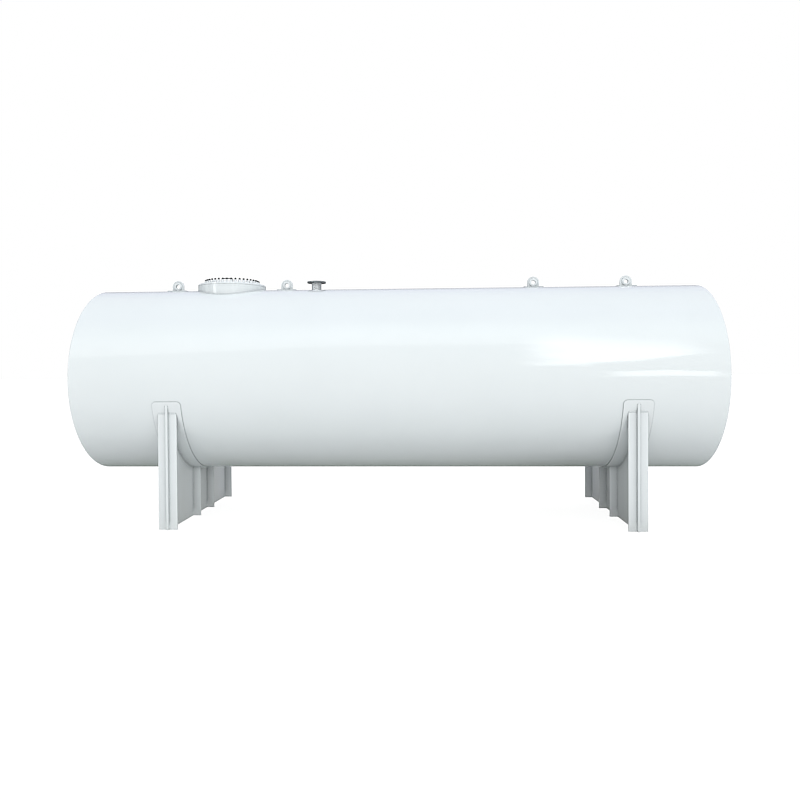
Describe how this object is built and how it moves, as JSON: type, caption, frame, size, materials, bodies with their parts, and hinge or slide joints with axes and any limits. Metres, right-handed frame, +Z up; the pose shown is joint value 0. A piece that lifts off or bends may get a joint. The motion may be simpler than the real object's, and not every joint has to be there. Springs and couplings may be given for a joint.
{
  "type": "horizontal storage tank",
  "caption": "Horizontal cylindrical steel storage tank with dished ends on two plate saddles, with lifting lugs, a bolted manhole and a flanged nozzle on top.",
  "frame": {"origin": "on the ground under the middle of the tank", "axes": "+X along the tank, away from the manhole; +Y from front to back; +Z up"},
  "size_m": [6.8296, 2, 2.65],
  "materials": {
    "tank_paint": "white gloss enamel",
    "saddle_paint": "white gloss enamel",
    "lug_paint": "white gloss enamel",
    "manhole_paint": "white gloss enamel",
    "gasket": "matt grey",
    "pipe_steel": "bare steel",
    "flange_steel": "dark forged steel"
  },
  "bodies": {
    "root": {"cover_handles": "flange_steel", "left_head": "tank_paint", "left_saddle_inner_ribs": "saddle_paint", "left_saddle_outer_ribs": "saddle_paint", "left_saddle_web": "saddle_paint", "left_wear_plate": "saddle_paint", "lifting_lugs": "lug_paint", "lug_pads": "lug_paint", "manhole_cover": "manhole_paint", "manhole_gasket": "gasket", "manhole_neck": "manhole_paint", "manhole_ring": "manhole_paint", "nozzle_flange": "flange_steel", "nozzle_neck": "pipe_steel", "right_head": "tank_paint", "right_saddle_inner_ribs": "saddle_paint", "right_saddle_outer_ribs": "saddle_paint", "right_saddle_web": "saddle_paint", "right_wear_plate": "saddle_paint", "shell_1_back": "tank_paint", "shell_1_bottom": "tank_paint", "shell_1_front": "tank_paint", "shell_1_top": "tank_paint", "shell_2_back": "tank_paint", "shell_2_bottom": "tank_paint", "shell_2_front": "tank_paint", "shell_2_top": "tank_paint", "shell_3_back": "tank_paint", "shell_3_bottom": "tank_paint", "shell_3_front": "tank_paint", "shell_3_top": "tank_paint"}
  },
  "joints": []
}
